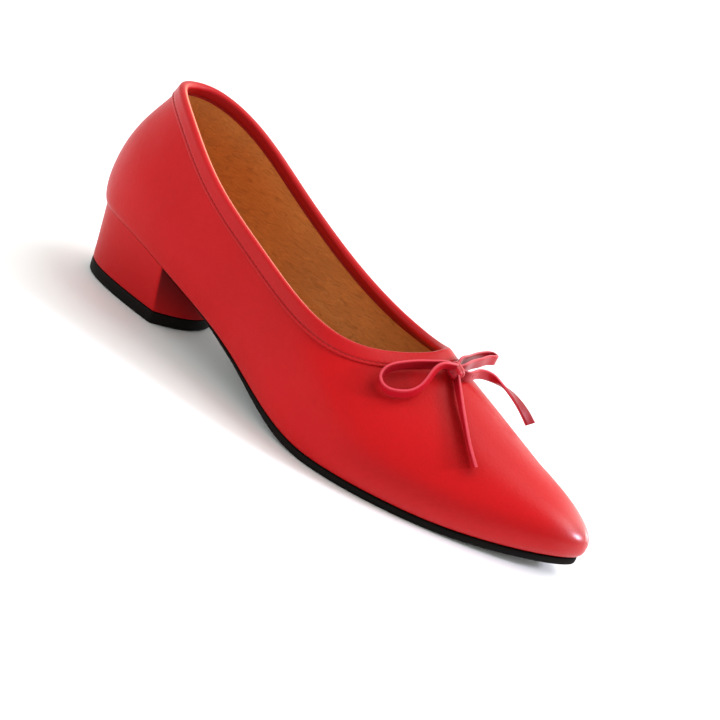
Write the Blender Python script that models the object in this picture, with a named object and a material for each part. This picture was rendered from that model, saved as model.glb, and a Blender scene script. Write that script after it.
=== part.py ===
"""Ballet pump with a low block heel and a ribbon bow: one right shoe, in the pieces of its maker.

The functions work in millimetres and the meshes are in metres. +X runs to the toe, +Y to the
inner side of the foot and +Z up. The shoe stands on Z = 0, on its heel lift and its forefoot.
"""
from collections import namedtuple

import bmesh
import bpy
import numpy as np

MILLIMETRE = 0.001

# Driving sizes of the last, in millimetres
LENGTH = 248.0
BALL_WIDTH = 76.5
HEEL_HEIGHT = 34.0
BACK_HEIGHT = 59.0
TOE_SPRING = 6.5

# Leather, sole and heel
WALL = 1.8
GAP = 0.3
INSOLE = 2.0
INSOLE_INSET = 2.3
SOLE = 3.4
WAIST_SOLE = 1.6
WAIST_END = 96.0
FOREPART_START = 140.0
BREAST = 52.0
BREAST_BULGE = 12.0
BREAST_GAP = 0.5
BREAST_FADE = 45.0
HEEL_INSET = 0.6
HEEL_FORWARD = -0.7
HEEL_TAPER_ALONG = 0.985
HEEL_TAPER_ACROSS = 0.78
LIFT = 5.5
LIFT_BEVEL = 0.97
LIFT_EDGE = 1.1

# Topline binding: a tape folded over the collar edge
BINDING = 0.8
BINDING_OUTSIDE = 6.5
BINDING_INSIDE = 5.2
FOLD_ROUND = 0.3

# Bow: a folded leather strip that stands on its edge
STRIP_WIDTH = 4.6
STRIP_THICKNESS = 1.3
STRIP_EDGE = 0.4
STRIP_STEPS = 26
KNOT_CENTRE = (175.0, -2.4, 50.2)
KNOT_SIZE = (6.6, 5.8, 5.2)
KNOT_SLOPE = 25.0
KNOT_SQUARE = 0.7
KNOT_SIDES = 12

# The knot's rows: place across in half widths, share of its full section
KNOT_ROWS = ((-1.0, 0.62), (-0.8, 0.88), (-0.3, 1.0), (0.3, 1.0), (0.8, 0.88), (1.0, 0.62))

# Fineness of the meshes
HALF_RING = 46
WALL_ROWS = 12
BEND_LENGTH = 40.0
HEEL_RUNGS = 12
HEEL_LEVELS = 4
SOLE_RUNGS = 34
ROW_CROWDING = 0.09
ROW_SKEW = 1.2
FINE_STEPS = 1500
DEPTH_STEPS = 120
SHARP_ANGLE = 35.0
MERGE = 1e-6
SMALL = 1e-4

# The sections round the shoe, from the back seam by the outer side to the toe tip.
# turn is the share of the way round. Places along the shoe are in percent of LENGTH, places
# across in percent of BALL_WIDTH from the heel's middle line, and rise, the topline's height
# over the featherline, in percent of BACK_HEIGHT. The wall leaves the featherline leaning out
# by lean degrees and reaches the topline drop degrees below level, and reach and pull are the
# lengths of those two handles in millimetres.
Section = namedtuple("Section", "name turn foot_along foot_out foot_in top_along top_out top_in "
                                "rise lean reach drop pull")
SECTIONS = (
    Section("back", 0.000, -0.8, 0.0, 0.0, 4.7, 0.0, 0.0, 100.0, 23, 31, 60, 21),
    Section("counter", 0.045, 1.5, 24.0, 22.5, 6.6, 15.5, 15.5, 99.0, 22, 20, 78, 19),
    Section("heel", 0.110, 11.6, 38.0, 35.5, 14.8, 31.0, 31.0, 89.5, 20, 24, 84, 18),
    Section("seat", 0.190, 25.0, 40.5, 34.0, 26.2, 40.0, 37.0, 76.5, 17, 22, 84, 16),
    Section("waist", 0.270, 40.0, 43.0, 31.5, 39.5, 40.5, 37.5, 69.5, 20, 20, 74, 14),
    Section("ball", 0.365, 61.0, 54.0, 47.0, 56.5, 35.5, 36.5, 70.5, 20, 20, 48, 14),
    Section("fore", 0.425, 76.5, 41.0, 43.0, 63.2, 16.0, 24.0, 75.5, 20, 21, 31, 22),
    Section("toeside", 0.472, 92.2, 13.0, 25.5, 66.3, 1.5, 12.0, 81.5, 26, 19, 28, 36),
    Section("tip", 0.500, 100.0, -11.5, 11.5, 66.8, -5.5, 5.5, 83.5, 33, 18, 29, 46),
)

# The heel seat and the shank: percent of LENGTH, percent of the heel's height over the forefoot
Shank = namedtuple("Shank", "along height")
SHANK = (
    Shank(-4.0, 100.5),
    Shank(0.0, 100.0),
    Shank(12.0, 95.5),
    Shank(24.0, 74.5),
    Shank(36.0, 47.5),
    Shank(48.0, 17.0),
)
FLAT_BACK = 61.0
FLAT_FRONT = 76.0

# The outsole's edge from top to bottom: inset from the featherline, share of the thickness
EDGE = ((0.6, 0.0), (0.3, 0.35), (0.8, 0.75), (2.2, 1.0))

# Places across a rung of the sole, from the outer edge to the inner edge
ACROSS = np.linspace(-1.0, 1.0, 9)
ACROSS_FEW = np.linspace(-1.0, 1.0, 5)
BREAST_PLACES = (0.75, 0.5, 0.25, 0.0)

# Routes of the bow's strips, by hand: along, across, height, and the lean of the strip's
# width from upright to the outer side, in degrees.
Place = namedtuple("Place", "along across height lean")
LOOP_OUTER = (
    Place(172.2, -6.0, 51.3, 22),
    Place(169.4, -9.6, 50.7, 25),
    Place(165.0, -14.6, 49.0, 30),
    Place(161.0, -20.2, 46.8, 32),
    Place(158.6, -24.9, 44.4, 34),
    Place(159.0, -28.2, 41.5, 36),
    Place(162.6, -29.2, 39.4, 37),
    Place(167.2, -27.0, 39.6, 36),
    Place(170.8, -22.9, 41.6, 41),
    Place(172.1, -18.3, 45.6, 52),
    Place(171.8, -13.7, 50.6, 62),
    Place(172.9, -9.7, 52.5, 58),
    Place(175.0, -6.0, 52.2, 40),
)
LOOP_INNER = (
    Place(173.6, 1.2, 51.7, 4),
    Place(172.6, 10.1, 51.5, 2),
    Place(172.2, 19.1, 51.0, 0),
    Place(172.8, 26.8, 50.9, 0),
    Place(174.8, 30.6, 51.1, 0),
    Place(177.0, 29.7, 51.4, 0),
    Place(176.9, 24.6, 51.8, 0),
    Place(176.2, 17.1, 51.5, 0),
    Place(175.5, 9.6, 51.2, 2),
    Place(175.7, 1.3, 50.7, 4),
)
TAIL_OUTER = (
    Place(178.6, -5.0, 47.6, 12),
    Place(182.8, -8.4, 45.1, 19),
    Place(187.5, -11.6, 41.8, 27),
    Place(192.6, -14.6, 38.2, 35),
    Place(198.4, -17.7, 34.0, 42),
    Place(204.5, -20.0, 29.8, 48),
)
TAIL_INNER = (
    Place(178.2, 1.2, 49.2, 5),
    Place(179.4, 9.5, 49.3, 8),
    Place(182.2, 16.8, 48.6, 32),
    Place(185.8, 21.0, 46.9, 56),
    Place(190.6, 24.2, 44.8, 80),
    Place(195.0, 26.2, 42.4, 101),
    Place(199.0, 27.4, 39.8, 121),
    Place(202.8, 28.2, 36.9, 134),
)

Finish = namedtuple("Finish", "colour roughness")
RED_LEATHER = Finish((0.52, 0.014, 0.018), 0.38)
RED_BINDING = Finish((0.50, 0.013, 0.018), 0.40)
TAN_LEATHER = Finish((0.27, 0.105, 0.03), 0.6)
BLACK_RUBBER = Finish((0.012, 0.011, 0.011), 0.55)


def spline(stations, values, where):
    """Natural cubic spline through values, one row for each station, read at where."""
    stations = np.asarray(stations, float)
    values = np.asarray(values, float).reshape(len(stations), -1)
    where = np.asarray(where, float)
    step = np.diff(stations)
    slope = np.diff(values, axis=0) / step[:, None]
    system = np.eye(len(stations))
    bend = np.zeros_like(values)
    for i in range(1, len(stations) - 1):
        system[i, i - 1:i + 2] = step[i - 1], 2 * (step[i - 1] + step[i]), step[i]
        bend[i] = 6 * (slope[i] - slope[i - 1])
    bend = np.linalg.solve(system, bend)
    left = np.clip(np.searchsorted(stations, where) - 1, 0, len(stations) - 2)
    span = step[left][..., None]
    ahead = stations[left + 1][..., None] - where[..., None]
    past = where[..., None] - stations[left][..., None]
    curve = (bend[left] * ahead ** 3 + bend[left + 1] * past ** 3) / (6 * span)
    curve += (values[left] / span - bend[left] * span / 6) * ahead
    curve += (values[left + 1] / span - bend[left + 1] * span / 6) * past
    return curve[..., 0] if values.shape[1] == 1 else curve


def featherline(x):
    """Height of the line where upper and sole meet: shank, flat forefoot and toe spring.

    The shank's table is mirrored at the back of the flat, so it runs level into the flat.
    """
    along = np.asarray(x, float) * 100 / LENGTH
    stations = [row.along for row in SHANK]
    heights = [row.height for row in SHANK]
    stations += [FLAT_BACK] + [2 * FLAT_BACK - place for place in stations[::-1]]
    heights += [0.0] + heights[::-1]
    shank = spline(stations, heights, np.minimum(along, FLAT_BACK)) / 100
    shank = np.where(along < FLAT_BACK, shank, 0.0)
    toe = np.clip((along - FLAT_FRONT) / (100 - FLAT_FRONT), 0, None) ** 2
    return SOLE + (HEEL_HEIGHT - SOLE) * shank + TOE_SPRING * toe


def sole_thickness(x):
    """Thickness of the outsole, thin at the waist and full at the forepart."""
    share = np.clip((np.asarray(x, float) - WAIST_END) / (FOREPART_START - WAIST_END), 0, 1)
    return WAIST_SOLE + (SOLE - WAIST_SOLE) * share * share * (3 - 2 * share)


def ring_column(outer, inner, turn):
    """One column of the table as a closed curve round the shoe.

    The outer side runs to the toe tip and the inner side back to the heel. A column that has
    two names is a place across, which is negative on the outer side.
    """
    sign = 1 if outer == inner else -1
    rows = [(row.turn, sign * getattr(row, outer)) for row in SECTIONS]
    rows += [(1 - row.turn, getattr(row, inner)) for row in SECTIONS[-2:0:-1]]
    count = len(rows)
    rows = [(place + lap, value) for lap in (-1, 0, 1) for place, value in rows]
    rows = rows[count // 2:-count // 2]
    return spline([row[0] for row in rows], [row[1] for row in rows], np.mod(turn, 1.0))


def foot_line(turn):
    """The featherline as points."""
    x = ring_column("foot_along", "foot_along", turn) * LENGTH / 100
    y = ring_column("foot_out", "foot_in", turn) * BALL_WIDTH / 100
    return np.stack([x, y, featherline(x)], -1)


def top_line(turn):
    """The topline as points."""
    x = ring_column("top_along", "top_along", turn) * LENGTH / 100
    y = ring_column("top_out", "top_in", turn) * BALL_WIDTH / 100
    rise = ring_column("rise", "rise", turn) * BACK_HEIGHT / 100
    return np.stack([x, y, featherline(x) + rise], -1)


def outward(line, turn):
    """Level unit vectors that point out of a closed line."""
    run = line(turn + SMALL) - line(turn - SMALL)
    out = np.stack([run[:, 1], -run[:, 0], np.zeros(len(run))], -1)
    return out / np.linalg.norm(out, axis=1, keepdims=True)


def wall(turn, rise):
    """Outer face of the upper: a cubic curve from featherline to topline at each turn.

    rise runs from 0 at the featherline to 1 at the topline, one row for each turn.
    """
    foot, top = foot_line(turn), top_line(turn)
    lean = np.radians(ring_column("lean", "lean", turn))[:, None]
    drop = np.radians(ring_column("drop", "drop", turn))[:, None]
    reach = ring_column("reach", "reach", turn)[:, None]
    pull = ring_column("pull", "pull", turn)[:, None]
    up = np.array([0.0, 0.0, 1.0])
    low = foot + reach * (outward(foot_line, turn) * np.sin(lean) + up * np.cos(lean))
    high = top + pull * (outward(top_line, turn) * np.cos(drop) - up * np.sin(drop))
    s = rise[..., None]
    curve = (1 - s) ** 3 * foot[:, None] + 3 * s * (1 - s) ** 2 * low[:, None]
    return curve + 3 * s ** 2 * (1 - s) * high[:, None] + s ** 3 * top[:, None]


def wall_normal(turn, rise):
    """Unit vectors out of the upper's outer face."""
    round_shoe = wall(turn + SMALL, rise) - wall(turn - SMALL, rise)
    up_wall = wall(turn, rise + SMALL) - wall(turn, rise - SMALL)
    normal = np.cross(round_shoe, up_wall)
    return normal / np.linalg.norm(normal, axis=2, keepdims=True)


def below_topline(turn, depth, offset):
    """Points depth below the topline along the wall and offset out of it.

    A depth below zero goes on above the edge, straight along the wall.
    """
    fine = np.broadcast_to(np.linspace(1.0, 0.3, DEPTH_STEPS), (len(turn), DEPTH_STEPS))
    steps = np.linalg.norm(np.diff(wall(turn, fine), axis=1), axis=2)
    length = np.concatenate([np.zeros((len(turn), 1)), np.cumsum(steps, axis=1)], axis=1)
    rise = np.array([np.interp(max(depth, 0.0), run, fine[0]) for run in length])[:, None]
    edge = wall(turn, rise)[:, 0]
    down = (wall(turn, rise - SMALL) - wall(turn, rise + SMALL))[:, 0]
    down /= np.linalg.norm(down, axis=1, keepdims=True)
    return edge + min(depth, 0.0) * down + offset * wall_normal(turn, rise)[:, 0]


def spread_turns(start, end, count):
    """Turns between two turns on the outer side, closer together where the sole line bends."""
    fine = np.linspace(start, end, FINE_STEPS)
    run = np.diff(foot_line(fine)[:, :2], axis=0)
    length = np.linalg.norm(run, axis=1)
    heading = np.unwrap(np.arctan2(run[:, 1], run[:, 0]))
    bend = np.abs(np.gradient(heading))
    measure = np.concatenate([[0.0], np.cumsum(length + BEND_LENGTH * bend)])
    return np.interp(np.linspace(0, measure[-1], count + 1), measure, fine)


def turn_at(x):
    """The turn on the outer side where the featherline reaches a place along the shoe."""
    fine = np.linspace(0.0, 0.5, FINE_STEPS)
    return float(np.interp(x, foot_line(fine)[:, 0], fine))


def ring_turns():
    """Turns all round the shoe, the inner side mirroring the outer side."""
    half = spread_turns(0.0, 0.5, HALF_RING)
    return np.concatenate([half, 1 - half[-2:0:-1]])


def inset_line(turn, inset):
    """The featherline in plan, moved inwards."""
    return foot_line(turn) - inset * outward(foot_line, turn)


def across(outer, inner, places):
    """Points between the outer and the inner edge of each rung."""
    share = ((places + 1) / 2)[None, :, None]
    return outer[:, None] * (1 - share) + inner[:, None] * share


def upper_sections():
    """Closed sections of the upper's wall, outside up and inside down."""
    turn = ring_turns()
    u = np.linspace(0.0, 1.0, WALL_ROWS) ** ROW_SKEW
    rise = np.broadcast_to(u - ROW_CROWDING * np.sin(2 * np.pi * u), (len(turn), WALL_ROWS))
    outer = wall(turn, rise)
    inner = outer - WALL * wall_normal(turn, rise)
    return np.concatenate([outer, inner[:, ::-1]], axis=1)


def binding_sections():
    """Closed sections of the folded tape that caps the collar edge, inside and outside."""
    inside, outside = -WALL - GAP, GAP
    far_in, far_out = inside - BINDING, outside + BINDING
    over = -GAP - BINDING
    profile = (
        (outside, BINDING_OUTSIDE), (far_out, BINDING_OUTSIDE), (far_out, BINDING_OUTSIDE / 2),
        (far_out, FOLD_ROUND), (-FOLD_ROUND, over), (-WALL + FOLD_ROUND, over),
        (far_in, FOLD_ROUND), (far_in, BINDING_INSIDE / 2), (far_in, BINDING_INSIDE),
        (inside, BINDING_INSIDE), (inside, BINDING_INSIDE / 2), (inside, -GAP),
        (outside, -GAP), (outside, BINDING_OUTSIDE / 2),
    )
    turn = ring_turns()
    return np.stack([below_topline(turn, depth, offset) for offset, depth in profile], axis=1)


def insole_sections():
    """Cross sections of the insole from the heel to the toe."""
    turn = spread_turns(0.0, 0.5, HALF_RING)
    flat = across(inset_line(turn, INSOLE_INSET), inset_line(1 - turn, INSOLE_INSET), ACROSS_FEW)
    base = flat.copy()
    base[..., 2] = featherline(flat[..., 0])
    top = base + np.array([0.0, 0.0, INSOLE])
    return np.concatenate([top, base[:, ::-1]], axis=1)


def breast_corners():
    """The two upper corners of the heel breast, outer and inner."""
    turn = np.array([turn_at(BREAST)])
    return inset_line(turn, HEEL_INSET)[0], inset_line(1 - turn, HEEL_INSET)[0]


def breast_curve(y):
    """How far the heel breast stands forward of its two corners, at places across the shoe."""
    outer, inner = breast_corners()
    place = (2 * y - outer[1] - inner[1]) / (inner[1] - outer[1])
    return BREAST_BULGE * (1 - np.minimum(place ** 2, 1.0))


def outsole_sections():
    """Cross sections of the outsole from the heel breast to the toe tip.

    Its back end follows the curve of the heel breast, which fades out along the waist.
    """
    turn = spread_turns(turn_at(BREAST + BREAST_GAP), 0.5, SOLE_RUNGS)
    fade = np.clip(1 - (foot_line(turn)[:, 0] - BREAST - BREAST_GAP) / BREAST_FADE, 0, 1)

    def row(inset, share, places):
        points = across(inset_line(turn, inset), inset_line(1 - turn, inset), places)
        points[..., 0] += breast_curve(points[..., 1]) * fade[:, None]
        x = points[..., 0]
        points[..., 2] = featherline(x) - GAP - (sole_thickness(x) - GAP) * share
        return points

    rows = [row(*EDGE[0], ACROSS)]
    rows += [row(inset, share, ACROSS[-1:]) for inset, share in EDGE[1:-1]]
    rows += [row(*EDGE[-1], ACROSS[::-1])]
    rows += [row(inset, share, ACROSS[:1]) for inset, share in EDGE[-2:0:-1]]
    return np.concatenate(rows, axis=1)


def heel_outline():
    """The heel's top edge in plan: outer and inner points from the back to the breast's middle.

    Past the two breast corners the rungs draw together along the curve of the breast.
    """
    turn = spread_turns(0.0, turn_at(BREAST), HEEL_RUNGS)
    outer, inner = inset_line(turn, HEEL_INSET), inset_line(1 - turn, HEEL_INSET)
    corners = np.array(breast_corners())
    middle = corners.mean(axis=0)
    for place in BREAST_PLACES:
        rung = middle + (corners - middle) * place
        rung[:, 0] += breast_curve(rung[:, 1])
        outer, inner = np.vstack([outer, rung[0]]), np.vstack([inner, rung[1]])
    return outer, inner


def heel_level(points, level):
    """Points of the heel's top edge carried down its taper: level 0 at the seat, 1 at the lift."""
    seat = points.copy()
    seat[..., 2] = featherline(points[..., 0]) - GAP
    foot = points * np.array([HEEL_TAPER_ALONG, HEEL_TAPER_ACROSS, 0.0])
    foot += np.array([HEEL_FORWARD, 0.0, LIFT + GAP])
    return seat * (1 - level) + foot * level


def heel_sections():
    """Cross sections of the heel block from its back to the middle of its breast."""
    outer, inner = heel_outline()
    levels = np.linspace(0.0, 1.0, HEEL_LEVELS)
    rows = [heel_level(across(outer, inner, ACROSS_FEW), 0.0)]
    rows += [heel_level(inner, level)[:, None] for level in levels[1:-1]]
    rows += [heel_level(across(outer, inner, ACROSS_FEW[::-1]), 1.0)]
    rows += [heel_level(outer, level)[:, None] for level in levels[-2:0:-1]]
    return np.concatenate(rows, axis=1)


def lift_sections():
    """Cross sections of the heel's top lift, with its lower edge taken in a little."""
    outer, inner = heel_outline()
    edges = [heel_level(side, 1.0) for side in (outer, inner)]
    middle = np.array([(edges[0][0, 0] + edges[0][-1, 0]) / 2, 0.0, 0.0])

    def row(scale, height, places):
        points = across(*edges, places)
        points = middle + (points - middle) * scale
        points[..., 2] = height
        return points

    rows = [row(1.0, LIFT, ACROSS_FEW), row(1.0, LIFT_EDGE, ACROSS_FEW[-1:])]
    rows += [row(LIFT_BEVEL, 0.0, ACROSS_FEW[::-1]), row(1.0, LIFT_EDGE, ACROSS_FEW[:1])]
    return np.concatenate(rows, axis=1)


def strip_sections(route):
    """A flat strip along a smooth route, its width leaning as the route says."""
    places = np.array([row[:3] for row in route])
    steps = np.linalg.norm(np.diff(places, axis=0), axis=1)
    length = np.concatenate([[0.0], np.cumsum(steps)])
    where = np.linspace(0.0, length[-1], STRIP_STEPS)
    centre = spline(length, places, where)
    lean = np.radians(spline(length, [row.lean for row in route], where))
    along = np.gradient(centre, axis=0)
    along /= np.linalg.norm(along, axis=1, keepdims=True)
    width = np.stack([np.zeros_like(lean), -np.sin(lean), np.cos(lean)], -1)
    width -= along * np.sum(width * along, axis=1, keepdims=True)
    width /= np.linalg.norm(width, axis=1, keepdims=True)
    face = np.cross(width, along)
    half, flat, thick = STRIP_WIDTH / 2, STRIP_WIDTH / 2 - STRIP_EDGE, STRIP_THICKNESS / 2
    profile = ((half, 0), (flat, thick), (-flat, thick), (-half, 0), (-flat, -thick), (flat, -thick))
    return np.stack([centre + a * width + b * face for a, b in profile], axis=1)


def knot_sections():
    """The knot: rounded sections across the shoe, fullest in the middle and tilted to the vamp."""
    angle = np.linspace(0, 2 * np.pi, KNOT_SIDES, endpoint=False)
    places, size = np.array(KNOT_ROWS).T
    round_x = np.sign(np.cos(angle)) * np.abs(np.cos(angle)) ** KNOT_SQUARE
    round_z = np.sign(np.sin(angle)) * np.abs(np.sin(angle)) ** KNOT_SQUARE
    slope = np.radians(KNOT_SLOPE)
    along = KNOT_SIZE[0] / 2 * size[:, None] * round_x
    high = KNOT_SIZE[2] / 2 * size[:, None] * round_z
    x = along * np.cos(slope) + high * np.sin(slope)
    z = high * np.cos(slope) - along * np.sin(slope)
    y = np.broadcast_to(places[:, None] * KNOT_SIZE[1] / 2, x.shape)
    return np.array(KNOT_CENTRE) + np.stack([x, y, z], -1)


def finish_material(name, finish):
    """A Principled material with a piece's colour and roughness."""
    material = bpy.data.materials.new(name)
    material.use_nodes = True
    shader = material.node_tree.nodes["Principled BSDF"]
    shader.inputs["Base Color"].default_value = (*finish.colour, 1.0)
    shader.inputs["Roughness"].default_value = finish.roughness
    shader.inputs["Metallic"].default_value = 0.0
    return material


def loft(name, sections, closed, finish, parent):
    """One object that joins closed sections in order, round a ring or between two ends."""
    count, points = sections.shape[:2]
    mesh = bpy.data.meshes.new(name)
    index = np.arange(count * points).reshape(count, points)
    following = np.roll(index, -1, axis=0) if closed else index[1:]
    current = index if closed else index[:-1]
    quads = np.stack([current, np.roll(current, -1, axis=1),
                      np.roll(following, -1, axis=1), following], -1).reshape(-1, 4)
    faces = quads.tolist()
    if not closed:
        faces += [index[0, ::-1].tolist(), index[-1].tolist()]
    mesh.from_pydata((sections.reshape(-1, 3) * MILLIMETRE).tolist(), [], faces)
    form = bmesh.new()
    form.from_mesh(mesh)
    bmesh.ops.remove_doubles(form, verts=form.verts, dist=MERGE)
    bmesh.ops.dissolve_degenerate(form, edges=form.edges, dist=MERGE / 10)
    bmesh.ops.triangulate(form, faces=form.faces)
    bmesh.ops.recalc_face_normals(form, faces=form.faces)
    form.to_mesh(mesh)
    form.free()
    mesh.materials.append(finish_material(name, finish))
    mesh.shade_smooth()
    mesh.set_sharp_from_angle(angle=np.radians(SHARP_ANGLE))
    piece = bpy.data.objects.new(name, mesh)
    piece.parent = parent
    bpy.context.collection.objects.link(piece)


def main():
    for old in list(bpy.data.objects):
        bpy.data.objects.remove(old)
    shoe = {
        "upper": (upper_sections(), True, RED_LEATHER),
        "topline_binding": (binding_sections(), True, RED_BINDING),
        "insole": (insole_sections(), False, TAN_LEATHER),
        "outsole": (outsole_sections(), False, BLACK_RUBBER),
        "heel_block": (heel_sections(), False, RED_LEATHER),
        "heel_top_lift": (lift_sections(), False, BLACK_RUBBER),
    }
    bow = {
        "bow_knot": (knot_sections(), False, RED_LEATHER),
        "bow_loop_outer": (strip_sections(LOOP_OUTER), False, RED_LEATHER),
        "bow_loop_inner": (strip_sections(LOOP_INNER), False, RED_LEATHER),
        "bow_tail_outer": (strip_sections(TAIL_OUTER), False, RED_LEATHER),
        "bow_tail_inner": (strip_sections(TAIL_INNER), False, RED_LEATHER),
    }
    corners = np.vstack([sections.reshape(-1, 3) for sections, closed, finish in shoe.values()])
    centre = (corners.min(axis=0) + corners.max(axis=0)) / 2
    stand = bpy.data.objects.new("shoe_frame", None)
    bpy.context.collection.objects.link(stand)
    stand.location = (-centre[0] * MILLIMETRE, -centre[1] * MILLIMETRE, 0.0)
    for name, (sections, closed, finish) in {**shoe, **bow}.items():
        loft(name, sections, closed, finish, stand)


main()
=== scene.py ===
"""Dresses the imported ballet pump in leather, lining, thread and rubber, on a pale floor.

Shapes are worked out in millimetres in the last's own frame: +X to the toe, +Y to the inner side
of the foot and +Z up, with the heel's back near x = 0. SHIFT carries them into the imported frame.
"""
from collections import namedtuple

import bmesh
import bpy
import numpy as np
from mathutils import Matrix


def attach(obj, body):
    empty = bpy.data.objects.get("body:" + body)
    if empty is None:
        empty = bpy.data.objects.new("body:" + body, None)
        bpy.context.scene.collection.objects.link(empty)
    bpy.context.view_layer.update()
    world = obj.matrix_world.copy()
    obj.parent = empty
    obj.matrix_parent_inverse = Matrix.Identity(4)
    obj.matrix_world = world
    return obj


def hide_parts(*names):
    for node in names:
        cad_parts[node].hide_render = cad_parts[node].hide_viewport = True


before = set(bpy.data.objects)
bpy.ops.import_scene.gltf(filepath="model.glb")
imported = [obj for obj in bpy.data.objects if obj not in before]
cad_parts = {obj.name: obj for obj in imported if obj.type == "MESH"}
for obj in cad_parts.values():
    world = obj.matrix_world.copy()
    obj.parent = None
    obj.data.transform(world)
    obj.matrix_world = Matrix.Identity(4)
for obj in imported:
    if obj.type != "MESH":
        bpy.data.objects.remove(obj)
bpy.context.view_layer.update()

bl_info = {
    "name": "Ballet Pump Dressing",
    "version": (1, 0, 0),
    "blender": (4, 5, 0),
    "location": "View3D > Sidebar > Pump",
    "description": "Leather, lining, binding, stitches, sole, heel and bow of a ballet pump",
    "category": "Object",
}

MILLIMETRE = 0.001
SHIFT = np.array([-121.423, 2.032, 0.0])

# The last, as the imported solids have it
LENGTH = 248.0
BALL_WIDTH = 76.5
HEEL_HEIGHT = 34.0
BACK_HEIGHT = 59.0
TOE_SPRING = 6.5
WALL = 1.8
GAP = 0.3
INSOLE = 2.0
INSOLE_INSET = 2.3
SOLE = 3.4
WAIST_SOLE = 1.6
WAIST_END = 96.0
FOREPART_START = 140.0
BREAST = 52.0
BREAST_BULGE = 12.0
BREAST_GAP = 0.5
BREAST_FADE = 45.0
HEEL_INSET = 0.6
HEEL_FORWARD = -0.7
HEEL_TAPER_ALONG = 0.985
HEEL_TAPER_ACROSS = 0.78
LIFT = 5.5
FLAT_BACK = 61.0
FLAT_FRONT = 76.0

# Small step for directions, turns read along a line, and how much a bend draws turns together
SMALL = 1e-4
FINE_TURNS = 2000
BEND_LENGTH = 25.0

# Sections round the shoe: turn is the share of the way round from the back seam, places along in
# percent of LENGTH, places across in percent of BALL_WIDTH, rise in percent of BACK_HEIGHT.
Section = namedtuple("Section", "name turn foot_along foot_out foot_in top_along top_out top_in "
                                "rise lean reach drop pull")
SECTIONS = (
    Section("back", 0.000, -0.8, 0.0, 0.0, 4.7, 0.0, 0.0, 100.0, 23, 31, 60, 21),
    Section("counter", 0.045, 1.5, 24.0, 22.5, 6.6, 15.5, 15.5, 99.0, 22, 20, 78, 19),
    Section("heel", 0.110, 11.6, 38.0, 35.5, 14.8, 31.0, 31.0, 89.5, 20, 24, 84, 18),
    Section("seat", 0.190, 25.0, 40.5, 34.0, 26.2, 40.0, 37.0, 76.5, 17, 22, 84, 16),
    Section("waist", 0.270, 40.0, 43.0, 31.5, 39.5, 40.5, 37.5, 69.5, 20, 20, 74, 14),
    Section("ball", 0.365, 61.0, 54.0, 47.0, 56.5, 35.5, 36.5, 70.5, 20, 20, 48, 14),
    Section("fore", 0.425, 76.5, 41.0, 43.0, 63.2, 16.0, 24.0, 75.5, 20, 21, 31, 22),
    Section("toeside", 0.472, 92.2, 13.0, 25.5, 66.3, 1.5, 12.0, 81.5, 26, 19, 28, 36),
    Section("tip", 0.500, 100.0, -11.5, 11.5, 66.8, -5.5, 5.5, 83.5, 33, 18, 29, 46),
)
Shank = namedtuple("Shank", "along height")
SHANK = (
    Shank(-4.0, 100.5),
    Shank(0.0, 100.0),
    Shank(12.0, 95.5),
    Shank(24.0, 74.5),
    Shank(36.0, 47.5),
    Shank(48.0, 17.0),
)

# Routes of the bow's strips: along, across, height, and the lean of the strip's width from
# upright to the outer side, in degrees.
Place = namedtuple("Place", "along across height lean")
LOOP_OUTER = (
    Place(172.2, -6.0, 51.3, 22),
    Place(169.4, -9.6, 50.7, 25),
    Place(165.0, -14.6, 49.0, 30),
    Place(161.0, -20.2, 46.8, 32),
    Place(158.6, -24.9, 44.4, 34),
    Place(159.0, -28.2, 41.5, 36),
    Place(162.6, -29.2, 39.4, 37),
    Place(167.2, -27.0, 39.6, 36),
    Place(170.8, -22.9, 41.6, 41),
    Place(172.1, -18.3, 45.6, 52),
    Place(171.8, -13.7, 50.6, 62),
    Place(172.9, -9.7, 52.5, 58),
    Place(175.0, -6.0, 52.2, 40),
)
LOOP_INNER = (
    Place(173.6, 1.2, 51.7, 4),
    Place(172.6, 10.1, 51.5, 2),
    Place(172.2, 19.1, 51.0, 0),
    Place(172.8, 26.8, 50.9, 0),
    Place(174.8, 30.6, 51.1, 0),
    Place(177.0, 29.7, 51.4, 0),
    Place(176.9, 24.6, 51.8, 0),
    Place(176.2, 17.1, 51.5, 0),
    Place(175.5, 9.6, 51.2, 2),
    Place(175.7, 1.3, 50.7, 4),
)
TAIL_OUTER = (
    Place(178.6, -5.0, 47.6, 12),
    Place(182.8, -8.4, 45.1, 19),
    Place(187.5, -11.6, 41.8, 27),
    Place(192.6, -14.6, 38.2, 35),
    Place(198.4, -17.7, 34.0, 42),
    Place(204.5, -20.0, 29.8, 48),
)
TAIL_INNER = (
    Place(178.2, 1.2, 49.2, 5),
    Place(179.4, 9.5, 49.3, 8),
    Place(182.2, 16.8, 48.6, 32),
    Place(185.8, 21.0, 46.9, 56),
    Place(190.6, 24.2, 44.8, 80),
    Place(195.0, 26.2, 42.4, 101),
    Place(199.0, 27.4, 39.8, 121),
    Place(202.8, 28.2, 36.9, 134),
)
KNOT_CENTRE = (175.0, -2.4, 50.2)
KNOT_SIZE = (6.6, 5.8, 5.2)
KNOT_SLOPE = 25.0
STRIP_WIDTH = 4.6
STRIP_THICKNESS = 1.3

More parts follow.
